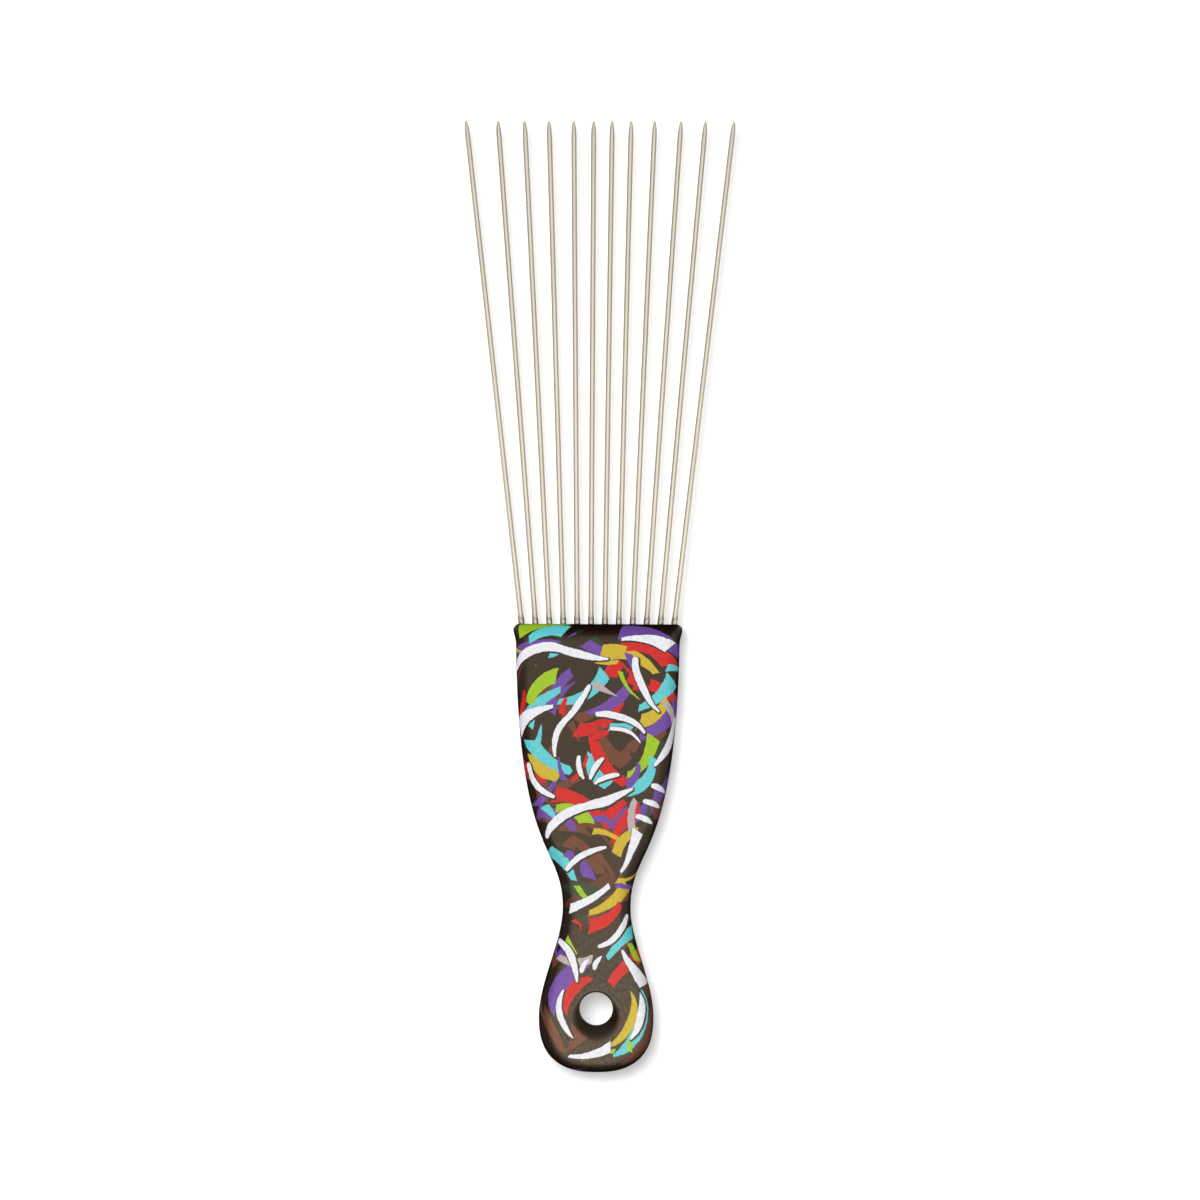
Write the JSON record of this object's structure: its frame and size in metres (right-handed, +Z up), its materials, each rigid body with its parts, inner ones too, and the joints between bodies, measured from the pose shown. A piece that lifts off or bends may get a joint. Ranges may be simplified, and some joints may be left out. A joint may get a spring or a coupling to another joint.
{
  "type": "afro pick",
  "caption": "Afro pick with a flat moulded handle, a flared head, narrow waist and hanging hole, and a fan of straight round steel pins set into the head.",
  "frame": {"origin": "on the surface that the pick lies on, below the middle of its overall box", "axes": "+X across the pick to the right, +Y along it from the rounded end of the handle to the pin points, +Z up through its thickness, out of the front face"},
  "size_m": [0.0684, 0.24, 0.01],
  "materials": {
    "printed_plastic": "satin lacquer over a many-coloured print on dark brown",
    "pin_steel": "satin drawn wire, warm nickel tint"
  },
  "bodies": {
    "root": {"handle": "printed_plastic", "pin_01": "pin_steel", "pin_02": "pin_steel", "pin_03": "pin_steel", "pin_04": "pin_steel", "pin_05": "pin_steel", "pin_06": "pin_steel", "pin_07": "pin_steel", "pin_08": "pin_steel", "pin_09": "pin_steel", "pin_10": "pin_steel", "pin_11": "pin_steel", "pin_12": "pin_steel"}
  },
  "joints": []
}
